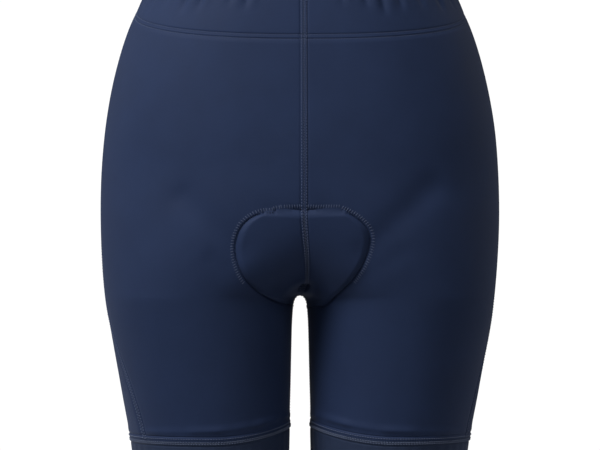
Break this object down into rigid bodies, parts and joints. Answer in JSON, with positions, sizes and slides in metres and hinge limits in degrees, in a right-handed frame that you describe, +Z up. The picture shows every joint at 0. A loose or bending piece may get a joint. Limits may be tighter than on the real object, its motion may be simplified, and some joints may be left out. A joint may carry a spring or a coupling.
{
  "type": "cycling shorts",
  "caption": "Hollow cycling shorts, filled out as worn, with a gathered waistband, leg bands and a seat pad sewn inside.",
  "frame": {"origin": "middle of the waist, half way up the elastic, where the wearer holds the garment", "axes": "+Z up, front toward -Y, the wearer's left toward +X"},
  "size_m": [0.3538, 0.2408, 0.5068],
  "materials": {
    "waistband_knit": "matt navy stretch knit, gathered by elastic",
    "panel_knit": "smooth fine navy stretch knit with a soft sheen",
    "hem_knit": "matt navy stretch knit, a little darker",
    "pad_fleece": "dark grey brushed microfibre over foam"
  },
  "bodies": {
    "root": {"waistband_right": "waistband_knit", "waistband_left": "waistband_knit", "front_right": "panel_knit", "front_left": "panel_knit", "back_right": "panel_knit", "back_left": "panel_knit", "hem_right": "hem_knit", "hem_left": "hem_knit", "pad": "pad_fleece"}
  },
  "joints": []
}
